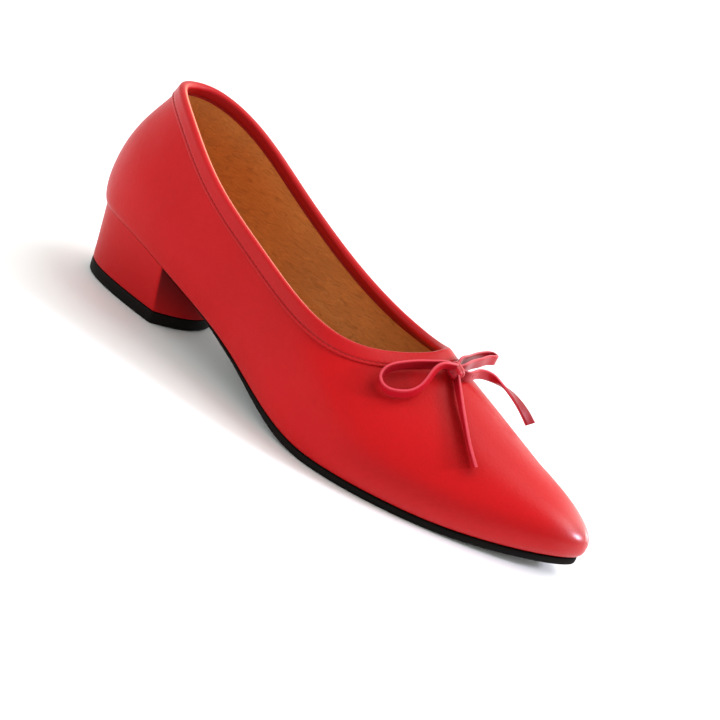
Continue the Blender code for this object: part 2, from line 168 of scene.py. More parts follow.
# Soft troughs and ridges in the leather: where each starts, passes and ends, as turn and
# rise, its half width and its height in millimetres. A trough's height is below zero.
Fold = namedtuple("Fold", "name start middle end width height")
LEATHER_FOLDS = (
    Fold("toe puff edge outer", (0.430, 0.15), (0.466, 0.17), (0.497, 0.20), 2.6, 0.28),
    Fold("toe puff edge inner", (0.570, 0.15), (0.534, 0.17), (0.503, 0.20), 2.6, 0.24),
    Fold("toe puff", (0.515, 0.50), (0.507, 0.30), (0.503, 0.10), 7.5, 1.2),
    Fold("outer waist hollow", (0.225, 0.42), (0.265, 0.45), (0.315, 0.42), 9.0, -0.45),
    Fold("inner waist hollow", (0.775, 0.45), (0.735, 0.50), (0.690, 0.45), 10.0, -0.55),
    Fold("outer flex crease", (0.352, 0.80), (0.372, 0.58), (0.385, 0.40), 1.9, -0.14),
    Fold("outer flex crease two", (0.372, 0.82), (0.389, 0.64), (0.400, 0.46), 2.2, -0.12),
    Fold("inner flex crease", (0.646, 0.80), (0.628, 0.60), (0.616, 0.42), 2.1, -0.16),
    Fold("inner flex crease two", (0.624, 0.84), (0.608, 0.66), (0.598, 0.48), 2.2, -0.13),
    Fold("counter hollow", (0.040, 0.70), (0.085, 0.60), (0.135, 0.62), 6.0, -0.22),
    Fold("counter edge outer", (0.128, 0.10), (0.150, 0.45), (0.146, 0.84), 3.2, 0.16),
    Fold("counter edge inner", (0.872, 0.10), (0.850, 0.45), (0.854, 0.84), 3.2, 0.16),
)
LINING_FOLDS = (
    Fold("long fold by the waist", (0.760, 0.22), (0.705, 0.26), (0.650, 0.20), 2.2, 0.45),
    Fold("fold by the ball", (0.690, 0.42), (0.648, 0.38), (0.612, 0.30), 1.6, 0.35),
    Fold("second fold by the ball", (0.672, 0.30), (0.640, 0.28), (0.600, 0.36), 1.3, 0.30),
    Fold("fold under the throat", (0.612, 0.55), (0.588, 0.50), (0.560, 0.52), 1.6, 0.30),
    Fold("outer fold by the ball", (0.310, 0.40), (0.352, 0.36), (0.392, 0.30), 1.8, 0.35),
    Fold("heel grip edge", (0.120, 0.20), (0.124, 0.50), (0.118, 0.86), 1.5, 0.25),
    Fold("heel grip edge inner", (0.880, 0.20), (0.876, 0.50), (0.882, 0.86), 1.5, 0.25),
)

# Profile of the binding, from its outer lower edge over the fold to its inner lower edge:
# share of the leg's width from the fold, and height of the tape over the leather
TAPE_OUTER = (
    (1.00, 0.32), (0.99, 0.56), (0.96, 0.74), (0.91, 0.78), (0.86, 0.74), (0.825, 0.62),
    (0.80, 0.54), (0.775, 0.62), (0.74, 0.76), (0.68, 0.84), (0.55, 0.90), (0.40, 0.94),
    (0.25, 0.97), (0.12, 1.00),
)
TAPE_INNER = (
    (0.12, 1.02), (0.25, 1.06), (0.40, 1.08), (0.55, 1.06), (0.68, 0.98), (0.76, 0.80),
    (0.80, 0.62), (0.84, 0.80), (0.90, 0.92), (0.96, 0.84), (0.99, 0.60), (1.00, 0.32),
)
STITCH_PLACE = 0.80
STITCH_HEIGHT = 0.52
PUCKER_WIDTH = 0.9
LINE_WIDTH = 0.22
TAPE_EDGE_WIDTH = 0.25
TAPE_TOP = 1.03
TAPE_BACK = 0.1
FOLD_START = 0.35
FOLD_RISE = 1.45

# Edge of the sole from top to bottom: inset from the featherline, share of the thickness. Beside
# the breast its lower rows are drawn in by ARCH_TUCK.
SOLE_EDGE = ((0.60, 0.00), (0.30, 0.07), (0.16, 0.18), (0.10, 0.38), (0.10, 0.62), (0.18, 0.82),
             (0.40, 0.93), (0.85, 0.985), (1.60, 1.00))
ARCH_TUCK = 2.2

# Scales of the rings that close the heel block, and the lift's profile as scale and share of LIFT
HEEL_CAP = (0.2, 0.6, 0.9, 0.975)
LIFT_PROFILE = ((0.2, 1.0), (0.6, 1.0), (0.96, 1.0), (0.992, 0.985), (1.0, 0.94), (1.003, 0.80),
                (1.003, 0.55), (1.002, 0.30), (0.997, 0.12), (0.985, 0.04), (0.97, 0.0), (0.6, 0.0),
                (0.2, 0.0))

# The strip's face from one rim to the other, in half sizes of its width and thickness
STRIP_FACE = ((0.50, 0.97), (0.20, 0.93), (-0.20, 0.93), (-0.50, 0.97))
RIM_POINTS = 11
RIM_GROOVE = 0.09
TUCK = 0.55
CUT_LENGTH = 3.0
DIMPLE_SIZE = 0.42
DIMPLE_DEPTH = 0.3
KNOT_FULLNESS = 1.1
KNOT_FOLDS = (0.42, -0.38)
KNOT_FOLD_WIDTH = 0.10
KNOT_SQUARENESS = 0.75

# The bow's strips: the far end, the slant of its cut, dimples as place along, place across and sign
# of their face, and the sign of the shaded face, 0 for neither.
Strip = namedtuple("Strip", "node route end cut dimples shaded")
STRIPS = (
    Strip("bow_loop_outer", LOOP_OUTER, "object", 0.0, (), 1),
    Strip("bow_loop_inner", LOOP_INNER, "object", 0.0, (), -1),
    Strip("bow_tail_outer", TAIL_OUTER, "bare", 0.25, (), 0),
    Strip("bow_tail_inner", TAIL_INNER, "bare", -0.2, ((6.4, 0.6, -1), (8.4, 0.2, -1)), 1),
)

# Forms of the upper, the lining and the insole, in millimetres
TURN_IN = 0.5
TURN_IN_REACH = 0.9
FOLD_FADE_LOW = 6.0
FOLD_FADE_TOP = 9.0
RIPPLE_PITCH = 21.0
SEAM_WIDTH = 0.55
SEAM_END = 40.0
FOREPART_EASE = 60.0
LINING_GAP = 0.1
LINING_UNEVENNESS = 0.07
LINING_RIPPLE_PITCH = 9.0
LINING_FADE_LOW = 5.0
LINING_SMOOTH_TOP = 5.0
LINING_FADE_TOP = 6.0
INSOLE_UNEVENNESS = 0.05
INSOLE_RIPPLE_PITCH = 11.0
INSOLE_ROLL = 0.8
INSOLE_ROLL_REACH = 0.45
INSOLE_DISH = 0.25

# Shares of polish, of painted highlights and of darker tone at places on the leather, and how far
# some of them reach. The darker tone is painted shade, and also a darker line at the back seam.
TOE_POLISH = 1.0
TOE_POLISH_PLACE = (-4.0, 0.0, 9.0)
TOE_POLISH_REACH = 10.0
SOLE_POLISH = 0.28
SOLE_POLISH_REACH = 6.0
SEAT_HIGHLIGHT = 0.12
SEAT_HIGHLIGHT_REACH = 0.5
SEAT_HIGHLIGHT_END = 30.0
SEAT_HIGHLIGHT_EASE = 20.0
RIM_HIGHLIGHT = 0.55
SIDE_SHADE = 0.2
SIDE_SHADE_HEIGHT = 11.0
SIDE_SHADE_REACH = 4.5
SEAM_SHADE = 0.75
FOOT_SHADE = 0.3
FOOT_SHADE_REACH = 0.4
LINING_SHADE = 0.75
LINING_SHADE_REACH = 0.8
INSOLE_SHADE = 0.5
INSOLE_SHADE_REACH = 0.6
STITCH_SHADE = 0.4
TAPE_EDGE_SHADE = 0.15
INNER_STITCH_SHADE = 0.3
INNER_LEG_SHADE = 0.35
BREAST_SHADE = 1.0
LOOP_SHADE = 0.4
DIMPLE_SHADE = 0.5
KNOT_FOLD_SHADE = 0.6
KNOT_SHADE = 0.6
KNOT_SHADE_REACH = 4.0
BOW_SHADE_REACH = 2.9
# Painted shadow under the bow's strips: a strip's route, its shift beside it and the shadow's depth
BowShade = namedtuple("BowShade", "route beside depth")
BOW_SHADES = (
    BowShade(LOOP_OUTER[:6], (0.3, -1.6, -2.2), 0.9),
    BowShade(LOOP_OUTER[6:] + TAIL_OUTER, (-0.8, -0.6, -1.2), 0.6),
)


def spline(stations, values, where):
    """Natural cubic spline through values, one row for each station, read at where."""
    stations = np.asarray(stations, float)
    values = np.asarray(values, float).reshape(len(stations), -1)
    where = np.asarray(where, float)
    step = np.diff(stations)
    slope = np.diff(values, axis=0) / step[:, None]
    system = np.eye(len(stations))
    bend = np.zeros_like(values)
    for i in range(1, len(stations) - 1):
        system[i, i - 1:i + 2] = step[i - 1], 2 * (step[i - 1] + step[i]), step[i]
        bend[i] = 6 * (slope[i] - slope[i - 1])
    bend = np.linalg.solve(system, bend)
    left = np.clip(np.searchsorted(stations, where) - 1, 0, len(stations) - 2)
    span = step[left][..., None]
    ahead = stations[left + 1][..., None] - where[..., None]
    past = where[..., None] - stations[left][..., None]
    curve = (bend[left] * ahead ** 3 + bend[left + 1] * past ** 3) / (6 * span)
    curve += (values[left] / span - bend[left] * span / 6) * ahead
    curve += (values[left + 1] / span - bend[left + 1] * span / 6) * past
    return curve[..., 0] if values.shape[1] == 1 else curve


def unit(vectors):
    """Vectors of length one along the last axis."""
    return vectors / np.linalg.norm(vectors, axis=-1, keepdims=True)


def smooth_step(value):
    """0 below 0, 1 above 1, and 3 v^2 - 2 v^3 between."""
    share = np.clip(value, 0.0, 1.0)
    return share * share * (3 - 2 * share)


def bell(distance, width):
    """Gaussian bell: 1 at no distance, 1 / e at the width."""
    return np.exp(-(distance / width) ** 2)


def featherline(x):
    """Height where upper and sole meet: the shank's spline, a flat, and a square toe spring."""
    along = np.asarray(x, float) * 100 / LENGTH
    stations = [row.along for row in SHANK]
    heights = [row.height for row in SHANK]
    stations += [FLAT_BACK] + [2 * FLAT_BACK - place for place in stations[::-1]]
    heights += [0.0] + heights[::-1]
    shank = spline(stations, heights, np.minimum(along, FLAT_BACK)) / 100
    shank = np.where(along < FLAT_BACK, shank, 0.0)
    toe = np.clip((along - FLAT_FRONT) / (100 - FLAT_FRONT), 0, None) ** 2
    return SOLE + (HEEL_HEIGHT - SOLE) * shank + TOE_SPRING * toe


def ring_column(outer, inner, turn):
    """One column of the sections as a closed spline round the shoe, negative on the outer side."""
    sign = 1 if outer == inner else -1
    rows = [(row.turn, sign * getattr(row, outer)) for row in SECTIONS]
    rows += [(1 - row.turn, getattr(row, inner)) for row in SECTIONS[-2:0:-1]]
    count = len(rows)
    rows = [(place + lap, value) for lap in (-1, 0, 1) for place, value in rows]
    rows = rows[count // 2:-count // 2]
    return spline([row[0] for row in rows], [row[1] for row in rows], np.mod(turn, 1.0))


def foot_line(turn):
    """The featherline as points."""
    x = ring_column("foot_along", "foot_along", turn) * LENGTH / 100
    y = ring_column("foot_out", "foot_in", turn) * BALL_WIDTH / 100
    return np.stack([x, y, featherline(x)], -1)


def top_line(turn):
    """The topline as points."""
    x = ring_column("top_along", "top_along", turn) * LENGTH / 100
    y = ring_column("top_out", "top_in", turn) * BALL_WIDTH / 100
    rise = ring_column("rise", "rise", turn) * BACK_HEIGHT / 100
    return np.stack([x, y, featherline(x) + rise], -1)


def outward(line, turn):
    """Level unit vectors that point out of a closed line."""
    run = line(turn + SMALL) - line(turn - SMALL)
    return unit(np.stack([run[:, 1], -run[:, 0], np.zeros(len(run))], -1))


def wall(turn, rise):
    """Outer face of the upper: a cubic Bezier curve from featherline to topline at each turn.

    Its handles leave the featherline leaning out and come to the topline from below and outside.
    """
    foot, top = foot_line(turn), top_line(turn)
    lean = np.radians(ring_column("lean", "lean", turn))[:, None]
    drop = np.radians(ring_column("drop", "drop", turn))[:, None]
    reach = ring_column("reach", "reach", turn)[:, None]
    pull = ring_column("pull", "pull", turn)[:, None]
    up = np.array([0.0, 0.0, 1.0])
    low = foot + reach * (outward(foot_line, turn) * np.sin(lean) + up * np.cos(lean))
    high = top + pull * (outward(top_line, turn) * np.cos(drop) - up * np.sin(drop))
    s = rise[..., None]
    curve = (1 - s) ** 3 * foot[:, None] + 3 * s * (1 - s) ** 2 * low[:, None]
    return curve + 3 * s ** 2 * (1 - s) * high[:, None] + s ** 3 * top[:, None]


def wall_normal(turn, rise):
    """Unit vectors out of the upper's outer face, the cross product of its two directions."""
    round_shoe = wall(turn + SMALL, rise) - wall(turn - SMALL, rise)
    up_wall = wall(turn, rise + SMALL) - wall(turn, rise - SMALL)
    return unit(np.cross(round_shoe, up_wall))


def run_lengths(points):
    """Lengths along rows of points, from 0."""
    steps = np.linalg.norm(np.diff(points, axis=-2), axis=-1)
    return np.concatenate([np.zeros(steps.shape[:-1] + (1,)), np.cumsum(steps, axis=-1)], axis=-1)


def below_topline(turn, depth, offset):
    """Points at depths below the topline along the wall, offset out of it: one row for each turn.

    A depth below zero goes on above the edge, straight along the wall.
    """
    steps = 140
    fine = np.linspace(1.0, 0.3, steps)
    length = run_lengths(wall(turn, np.broadcast_to(fine, (len(turn), steps))))
    deep = np.broadcast_to(np.maximum(depth, 0.0), (len(turn), len(depth)))
    left = np.clip((length[:, :, None] < deep[:, None]).sum(axis=1) - 1, 0, steps - 2)
    start = np.take_along_axis(length, left, 1)
    share = (deep - start) / (np.take_along_axis(length, left + 1, 1) - start)
    rise = fine[left] + share * (fine[left + 1] - fine[left])
    down = unit(wall(turn, rise - SMALL) - wall(turn, rise + SMALL))
    points = wall(turn, rise) + np.minimum(depth, 0.0)[None, :, None] * down
    return points + np.broadcast_to(offset, rise.shape)[..., None] * wall_normal(turn, rise)


def spread_turns(start, end, count):
    """Turns between two turns, closer together where the sole line bends."""
    fine = np.linspace(start, end, FINE_TURNS)
    run = np.diff(foot_line(fine)[:, :2], axis=0)
    heading = np.unwrap(np.arctan2(run[:, 1], run[:, 0]))
    bend = np.abs(np.gradient(heading))
    measure = np.linalg.norm(run, axis=1) + BEND_LENGTH * bend
    measure = np.concatenate([[0.0], np.cumsum(measure)])
    return np.interp(np.linspace(0, measure[-1], count + 1), measure, fine)


def ring_turns(half):
    """Turns all round the shoe, the inner side mirroring the outer side."""
    side = spread_turns(0.0, 0.5, half)
    return np.concatenate([side, 1 - side[-2:0:-1]])


def turn_at(x):
    """The turn on the outer side where the featherline reaches a place along the shoe."""
    fine = np.linspace(0.0, 0.5, FINE_TURNS)
    return float(np.interp(x, foot_line(fine)[:, 0], fine))


def inset_line(turn, inset):
    """The featherline in plan, moved inwards."""
    return foot_line(turn) - inset * outward(foot_line, turn)


def rungs(turn, inset, places):
    """Straight rungs from the outer to the inner inset line, read at places from -1 to 1."""
    outer, inner = inset_line(turn, inset)[:, None], inset_line(1 - turn, inset)[:, None]
    half = ((np.asarray(places) + 1) / 2)[None, :, None]
    return outer * (1 - half) + inner * half


def fold_relief(points, folds):
    """Height of the listed folds at points: each a Gaussian bank along a curve on the wall.

    The curve passes the fold's three places, and the bank fades as a half sine to both its ends.
    """
    relief = np.zeros(points.shape[:-1])
    share = np.linspace(0.0, 1.0, 40)
    for fold in folds:
        way = spline((0.0, 0.5, 1.0), (fold.start, fold.middle, fold.end), share)
        route = wall(way[:, 0], way[:, 1:])[:, 0]
        apart = np.linalg.norm(points[..., None, :] - route, axis=-1)
        near = apart.argmin(axis=-1)
        fade = np.sin(np.pi * share) ** 0.7
        relief += fold.height * fade[near] * bell(apart.min(axis=-1), fold.width)
    return relief


def ripple(points, pitch, seed):
    """Smooth unevenness between -1 and 1: a sum of sine waves in turned directions."""
    rng = np.random.default_rng(seed)
    waves = 5
    total = np.zeros(points.shape[:-1])
    for octave in range(waves):
        way = unit(rng.normal(size=3))
        length = pitch * (0.6 + 0.25 * octave)
        total += np.sin(points @ way * 2 * np.pi / length + rng.uniform(0, 6.3))
    return total / waves


def quads_between(current, following):
    """Quads between rows of point numbers and the rows after them, closed round each row."""
    corners = (current, np.roll(current, -1, axis=-1), np.roll(following, -1, axis=-1), following)
    return np.stack(corners, -1).reshape(-1, 4).tolist()


def linked(name, data, axes=None):
    """An object in the scene; axes are its own three directions and its place, in the world."""
    thing = bpy.data.objects.new(name, data)
    if axes:
        pose = np.eye(4)
        pose[:3] = np.stack(axes, axis=1)
        thing.matrix_world = Matrix(pose.tolist())
    bpy.context.collection.objects.link(thing)
    return thing


def link_piece(name, points, faces, finish, stands_for=(), marks=None, sharp=None):
    """One object from points and faces, smooth, with its edges over the sharp angle left sharp.

    marks are numbers for each point that the finish reads as attributes.
    """
    mesh = bpy.data.meshes.new(name)
    mesh.from_pydata(((points + SHIFT) * MILLIMETRE).tolist(), [], faces)
    for key, values in (marks or {}).items():
        flat = np.asarray(values, np.float32).reshape(-1)
        flat = np.concatenate([flat, np.zeros(len(points) - len(flat), np.float32)])
        mesh.attributes.new(key, "FLOAT", "POINT").data.foreach_set("value", flat)
    form = bmesh.new()
    form.from_mesh(mesh)
    bmesh.ops.recalc_face_normals(form, faces=form.faces)
    form.to_mesh(mesh)
    form.free()
    mesh.shade_smooth()
    if sharp:
        mesh.set_sharp_from_angle(angle=np.radians(sharp))
    mesh.materials.append(finish)
    piece = linked(name, mesh)
    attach(piece, "root")
    for node in stands_for:
        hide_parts(node)
    return piece


def make_piece(name, grid, ring, finish, stands_for=(), marks=None):
    """One object from closed sections: grid rows are sections, joined in order or round a ring.

    An open row of sections is closed at both ends by a fan to the section's middle.
    """
    count, size = grid.shape[:2]
    index = np.arange(count * size).reshape(count, size)
    points = grid.reshape(-1, 3)
    if ring:
        faces = quads_between(index, np.roll(index, -1, axis=0))
    else:
        faces = quads_between(index[:-1], index[1:])
        points = np.vstack([points, grid[0].mean(axis=0), grid[-1].mean(axis=0)])
        for row, middle in ((index[0][::-1], len(points) - 2), (index[-1], len(points) - 1)):
            faces += np.stack([row, np.roll(row, -1), np.full(size, middle)], -1).tolist()
    return link_piece(name, points, faces, finish, stands_for, marks, sharp=48)


class Value:
    """A socket that takes part in sums: an operator on it adds a Math node."""

    def __init__(self, maker, socket):
        self.maker, self.socket = maker, socket

    def _sum(self, operation, first, second):
        return self.maker.value("ShaderNodeMath", {"operation": operation}, {0: first, 1: second})

    def __add__(self, other):
        return self._sum("ADD", self, other)

    def __radd__(self, other):
        return self._sum("ADD", other, self)

    def __sub__(self, other):
        return self._sum("SUBTRACT", self, other)

    def __rsub__(self, other):
        return self._sum("SUBTRACT", other, self)

    def __mul__(self, other):
        return self._sum("MULTIPLY", self, other)

    def __rmul__(self, other):
        return self._sum("MULTIPLY", other, self)


class NodeMaker:
    """Adds nodes to one tree and links them."""

    def __init__(self, tree):
        self.tree = tree

    def feed(self, socket, value):
        """Links a value to a socket, or sets the socket's own number or colour."""
        if isinstance(value, Value):
            self.tree.links.new(value.socket, socket)
        elif socket.type == "RGBA" and len(value) == 3:
            socket.default_value = (*value, 1.0)
        else:
            socket.default_value = value

    def value(self, kind, settings, sockets, output=0):
        """One node of a type: its settings first, then its sockets; gives one of its outputs."""
        node = self.tree.nodes.new(kind)
        for key, setting in settings.items():
            setattr(node, key, setting)
        for key, value in sockets.items():
            self.feed(node.inputs[key], value)
        return Value(self, node.outputs[output])

    def place(self):
        """The piece's own coordinates, in metres."""
        return self.value("ShaderNodeTexCoord", {}, {}, "Object")

    def stretched(self, scale, turn):
        """The piece's own coordinates, turned and stretched."""
        return self.value("ShaderNodeMapping", {},
                          {"Vector": self.place(), "Scale": scale, "Rotation": turn})

    def noise(self, scale, detail):
        """Cloudy noise from 0 to 1."""
        return self.value("ShaderNodeTexNoise", {},
                          {"Vector": self.place(), "Scale": scale, "Detail": detail})

    def pebbles(self, scale):
        """Distance to the nearest pebble's middle, from 0."""
        return self.value("ShaderNodeTexVoronoi", {"feature": "SMOOTH_F1"},
                          {"Vector": self.place(), "Scale": scale}, "Distance")

    def mark(self, name):
        """A number that the piece carries at each point."""
        return self.value("ShaderNodeAttribute", {"attribute_name": name}, {}, "Fac")

    def steps(self, value, low, high):
        """0 below low, 1 above high, straight between."""
        return self.value("ShaderNodeMapRange", {}, {"Value": value, "From Min": low, "From Max": high})

    def mixed(self, share, first, second):
        """A colour between two colours."""
        return self.value("ShaderNodeMix", {"data_type": "RGBA"}, {0: share, 6: first, 7: second}, 2)


class FinishMaker(NodeMaker):
    """The nodes of one material round its Principled shader."""

    def __init__(self, name):
        self.material = bpy.data.materials.new(name)
        self.material.use_nodes = True
        super().__init__(self.material.node_tree)

    def finish(self, colour, roughness, height, bump_depth, specular, coat=None):
        """Feeds the shader: colour, roughness, a bump, a constant strength of its gloss, a coat."""
        bump = self.value("ShaderNodeBump", {}, {"Height": height, "Distance": bump_depth * MILLIMETRE})
        sockets = {"Base Color": colour, "Roughness": roughness, "Normal": bump,
                   "Specular IOR Level": specular, **(coat or {})}
        for key, value in sockets.items():
            self.feed(self.tree.nodes["Principled BSDF"].inputs[key], value)
        return self.material


def tinted(colour, factor):
    """A colour made darker or lighter."""
    return tuple(min(part * factor, 1.0) for part in colour)


def red_leather(name, colour, roughness, gloss, grain_depth=0.09, highlight_colour=(0.78, 0.16, 0.07)):
    """Smooth red calf: fine pebbles, faint clouding, painted shade and highlights, a polished toe."""
    maker = FinishMaker(name)
    pebbles = maker.pebbles(1500.0)
    grain = maker.noise(420.0, 5.0)
    cloud = maker.noise(16.0, 3.0)
    groove, crest = maker.mark("groove"), maker.mark("crest")
    tone = maker.mixed(maker.steps(cloud, 0.3, 0.7), tinted(colour, 0.90), tinted(colour, 1.05))
    tone = maker.mixed(maker.steps(grain, 0.45, 0.75) * 0.12, tone, tinted(colour, 0.72))
    # Painted shade in folds, under the bow, where parts meet and on faces away from light; darker seam
    # line
    tone = maker.mixed(groove, tone, tinted(colour, 0.16))
    # Painted highlights on rims and edges, towards a paler colour
    tone = maker.mixed(crest, tone, highlight_colour)
    rough = roughness - 0.05 + grain * 0.10 + groove * 0.2
    height = pebbles * 0.5 + grain * 0.7
    coat = {"Coat Weight": maker.mark("polish"), "Coat Roughness": 0.25}
    return maker.finish(tone, rough, height, grain_depth, gloss, coat)


def tan_leather(name, colour):
    """Matt tan lining: drawn-out wrinkles along the shoe, fine pores and uneven dye."""
    maker = FinishMaker(name)
    drawn = maker.stretched((1.0, 2.6, 3.2), (0.0, 0.25, 0.15))
    wrinkles = maker.value("ShaderNodeTexNoise", {}, {"Vector": drawn, "Scale": 160.0, "Detail": 4.0,
                                                      "Distortion": 1.4})
    pores = maker.pebbles(1300.0)
    cloud = maker.noise(22.0, 4.0)
    tone = maker.mixed(maker.steps(cloud, 0.32, 0.68), tinted(colour, 0.86), tinted(colour, 1.12))
    # Painted shade in the wrinkles' troughs and painted light on their ridges, where the bump sinks and
    # rises
    tone = maker.mixed(maker.steps(wrinkles, 0.52, 0.70) * 0.5, tone, tinted(colour, 0.6))
    tone = maker.mixed(maker.steps(wrinkles, 0.45, 0.28) * 0.35, tone, tinted(colour, 1.35))
    # Painted shade at the lining's foot and along the insole's edge
    tone = maker.mixed(maker.mark("groove"), tone, tinted(colour, 0.3))
    rough = 0.58 + wrinkles * 0.15
    return maker.finish(tone, rough, pores * 0.3 - wrinkles * 1.4, bump_depth=0.28, specular=0.15)


def black_rubber(name, colour):
    """Moulded black rubber: a fine matt skin with dusty, scuffed patches."""
    maker = FinishMaker(name)
    skin = maker.noise(1900.0, 3.0)
    dust = maker.noise(70.0, 5.0)
    tone = maker.mixed(maker.steps(dust, 0.45, 0.8) * 0.3, colour, (0.018, 0.014, 0.012))
    rough = 0.52 + maker.steps(dust, 0.3, 0.7) * 0.2
    return maker.finish(tone, rough, skin, bump_depth=0.05, specular=0.08)


def red_thread(name, colour):
    """Waxed sewing thread: a slanting twist over a dull red."""
    maker = FinishMaker(name)
    twist = maker.value("ShaderNodeTexWave", {"bands_direction": "DIAGONAL"},
                        {"Vector": maker.place(), "Scale": 900.0, "Distortion": 1.0}, "Fac")
    # Painted shade in the twist's grooves, where the bump sinks
    tone = maker.mixed(twist, tinted(colour, 0.55), colour)
    return maker.finish(tone, 0.55 + twist * 0.1, twist, bump_depth=0.08, specular=0.2)


def pale_floor(name, colour):
    """Plain pale floor with a hardly visible unevenness."""
    maker = FinishMaker(name)
    cloud = maker.noise(3.0, 3.0)
    tone = maker.mixed(cloud, tinted(colour, 0.985), colour)
    return maker.finish(tone, 0.65 + cloud * 0.05, maker.noise(240.0, 2.0), bump_depth=0.02, specular=0.2)


def metres(name, description, default):
    """A length that a user would change."""
    return bpy.props.FloatProperty(name=name, description=description, default=default,
                                   min=0.0, precision=5, unit="LENGTH", subtype="DISTANCE")


def degrees(name, description, default):
    """An angle that a user would change."""
    return bpy.props.FloatProperty(name=name, description=description, default=np.radians(default),
                                   subtype="ANGLE")


def colour(name, description, default, brightest=1.0):
    """A colour that a user would change."""
    return bpy.props.FloatVectorProperty(name=name, description=description, default=default,
                                         size=3, min=0.0, max=brightest, subtype="COLOR")


class PumpSizes(bpy.types.PropertyGroup):
    """Sizes of the leather goods on the shoe."""
    leather: metres("Leather", "Thickness of the upper leather", 0.0010)
    binding_outside: metres("Binding outside", "Width of the collar tape outside", 0.0065)
    binding_inside: metres("Binding inside", "Width of the collar tape inside", 0.0052)
    stitch_length: metres("Stitch length", "Length of one stitch", 0.0019)
    stitch_pitch: metres("Stitch pitch", "Length of one stitch with its gap", 0.0024)
    thread: metres("Thread", "Thickness of the sewing thread", 0.00046)
    pucker: metres("Pucker", "How far the tape swells between stitches", 0.00005)
    seam_depth: metres("Seam depth", "Depth of the seam at the back", 0.0004)
    unevenness: metres("Unevenness", "Height of the soft unevenness of the leather", 0.00006)


class PumpColours(bpy.types.PropertyGroup):
    """Colours of the shoe and of the floor."""
    red: colour("Red leather", "Upper and heel", (0.45, 0.0058, 0.0078))
    binding: colour("Binding", "Tape round the collar", (0.43, 0.0056, 0.0080))
    bow: colour("Bow", "Strip of the bow", (0.42, 0.0062, 0.0150))
    tan: colour("Lining", "Lining and insole", (0.60, 0.258, 0.072))
    rubber: colour("Rubber", "Sole and heel lift", (0.0035, 0.0026, 0.0022))
    floor: colour("Floor", "Floor round the shoe", (0.89, 0.945, 0.95))


class PumpStage(bpy.types.PropertyGroup):
    """Camera and light."""
    azimuth: degrees("Azimuth", "Camera's turn to the toe", 23.71)
    elevation: degrees("Elevation", "Camera's height over level", 21.56)
    roll: degrees("Roll", "Camera's tilt about its line of sight", 25.03)
    distance: metres("Distance", "Camera's distance from its target", 0.38089)
    lens: bpy.props.FloatProperty(name="Lens", description="Focal length in millimetres", default=55.0)
    near_sky: colour("Near sky", "Even light from the outer side", (0.54, 0.515, 0.475))
    far_sky: colour("Far sky", "Even light from the inner side", (1.18, 1.16, 1.13), brightest=10.0)
    lamps: bpy.props.FloatProperty(name="Lamps", description="Strength of the soft lamps", default=1.0)


# The stage: the camera's target in the last's frame, the floor's half size in metres, the direction
# from the near to the far sky, and lamps with the side they stand on and their spread in degrees
FLOOR_REACH = 8.0
SKY_WAY = (0.0, 1.0, 0.1)
SKY_BLEND = 0.7
CAMERA_TARGET = (159.05, -52.34, 53.16)
Lamp = namedtuple("Lamp", "name place spread strength tint")
LAMPS = (
    Lamp("window", (0.38, 0.31, 0.87), 34, 1.36, (1.0, 0.98, 0.96)),
    Lamp("glint", (0.76, 0.36, 0.54), 11, 2.1, (0.88, 0.80, 1.0)),
    Lamp("far", (0.10, 0.90, 0.42), 50, 0.7, (1.0, 0.97, 0.92)),
    Lamp("rim", (0.46, 0.88, 0.08), 20, 0.5, (1.0, 0.94, 1.0)),
    Lamp("left", (-0.82, -0.22, 0.53), 44, 0.38, (0.88, 0.93, 1.0)),
    Lamp("fill", (-0.42, -0.89, 0.16), 60, 1.1, (1.0, 0.99, 0.97)),
)


def sizes():
    """The sizes in millimetres by name."""
    group = bpy.context.scene.pump_sizes
    return {key: getattr(group, key) * 1000 for key in group.__annotations__}


def tints():
    """The colours as plain numbers by name."""
    group = bpy.context.scene.pump_colours
    return {key: tuple(getattr(group, key)) for key in group.__annotations__}


